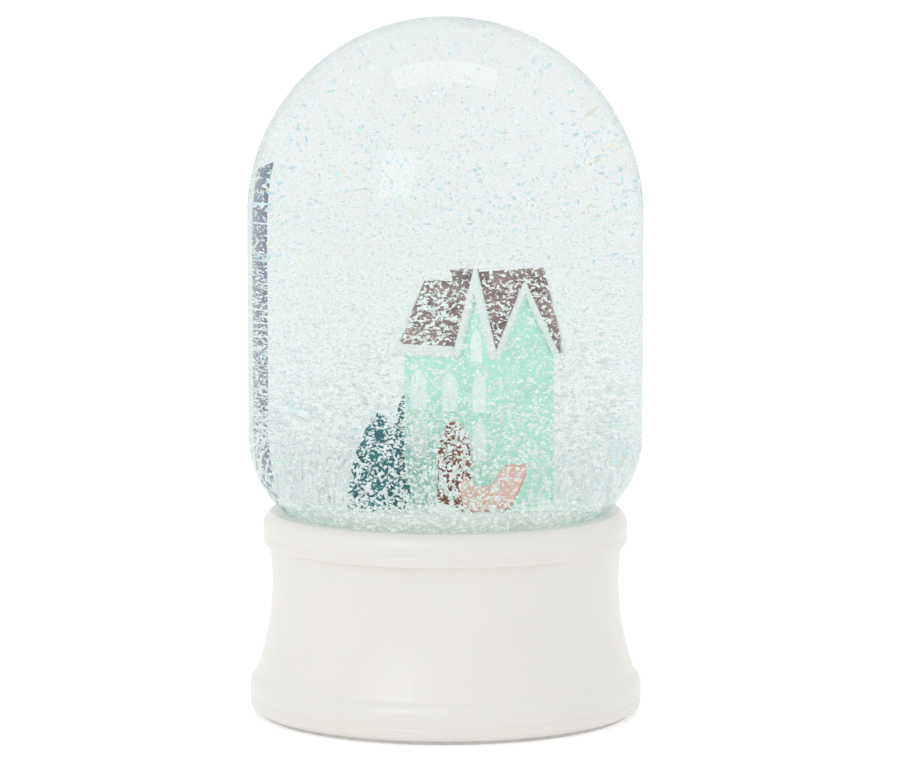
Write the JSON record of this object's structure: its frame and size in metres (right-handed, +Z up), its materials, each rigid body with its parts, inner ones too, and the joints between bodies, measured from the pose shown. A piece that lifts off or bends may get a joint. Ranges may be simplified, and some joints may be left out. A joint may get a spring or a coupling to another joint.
{
  "type": "snow globe",
  "caption": "Tall glass water globe with a mint winter house, trees and a sleigh in drifting snow, on a turned white pedestal that hides a wind-up musical movement.",
  "frame": {"origin": "centre of the foot, on the surface that the globe stands on", "axes": "+Z up along the axis of the pedestal and dome; the front, towards the viewer, is -Y; +X to the viewer's right"},
  "size_m": [0.1, 0.1, 0.1764],
  "materials": {
    "clear_glass": "clear, polished",
    "clear_liquid": "clear liquid with a faint mint tint",
    "white_flake": "pearly plastic flake",
    "snow_white": "moulded resin snow, frosted",
    "mint_resin": "painted resin, satin",
    "roof_brown": "painted resin shingles, matt",
    "trim_white": "painted resin, satin",
    "window_pale": "painted resin, satin",
    "door_brown": "painted resin, matt",
    "tree_teal": "painted resin, matt",
    "sleigh_coral": "painted resin, satin",
    "pedestal_resin": "cast resin, satin warm white",
    "black_rubber": "moulded",
    "sealant": "translucent",
    "plate_plastic": "moulded, fine texture",
    "felt": "wool felt",
    "zinc_steel": "zinc plated",
    "brass": "plain",
    "spring_steel": "blued",
    "nylon_white": "moulded gear plastic"
  },
  "bodies": {
    "globe": {"bedplate": "zinc_steel", "bonding_ring": "sealant", "bottom_plate": "plate_plastic", "chimney": "roof_brown", "comb_block": "zinc_steel", "comb_screws": "zinc_steel", "far_shaft_bracket": "zinc_steel", "felt_ring": "felt", "front_bargeboard": "trim_white", "front_door": "door_brown", "front_fascia": "trim_white", "glass_dome": "clear_glass", "house_walls": "mint_resin", "lancet_windows": "window_pale", "liquid_fill": "clear_liquid", "main_roof": "roof_brown", "mainspring": "spring_steel", "movement_screws": "zinc_steel", "near_shaft_bracket": "zinc_steel", "pedestal": "pedestal_resin", "plate_screws": "zinc_steel", "rear_bargeboard": "trim_white", "rear_fascia": "trim_white", "rubber_stopper": "black_rubber", "side_bargeboard": "trim_white", "side_roof": "roof_brown", "sleigh_body": "sleigh_coral", "sleigh_runners": "sleigh_coral", "snow_flakes": "white_flake", "snow_ground": "snow_white", "snow_mounds": "snow_white", "spring_housing": "zinc_steel", "tone_comb": "spring_steel", "tree_front": "tree_teal", "tree_rear": "tree_teal", "wing_bargeboard": "trim_white", "wing_roof": "roof_brown"},
    "winder": {"winding_key": "zinc_steel", "winding_arbor": "zinc_steel", "great_wheel": "brass"},
    "drum": {"music_drum": "brass", "drum_shaft": "zinc_steel", "drum_pinion": "brass", "drum_wheel": "brass"},
    "fly": {"fly_pinion": "nylon_white", "fly_axle": "zinc_steel", "fly_vanes": "nylon_white"}
  },
  "joints": [
    {"name": "key_turn", "type": "hinge", "parent": "globe", "child": "winder", "pos_m": [-0.014, 0, 0], "axis": [0, 0, 1], "range_deg": [0, 1260]},
    {"name": "drum_turn", "type": "hinge", "parent": "globe", "child": "drum", "pos_m": [0, 0, 0.0234], "axis": [1, 0, 0], "continuous": true},
    {"name": "fly_turn", "type": "hinge", "parent": "globe", "child": "fly", "pos_m": [0, 0.00719, 0.02691], "axis": [1, 0, 0], "continuous": true}
  ],
  "couplings": [
    {"joint": "drum_turn", "follows": "key_turn", "ratio": -2.3333},
    {"joint": "fly_turn", "follows": "key_turn", "ratio": 7}
  ]
}
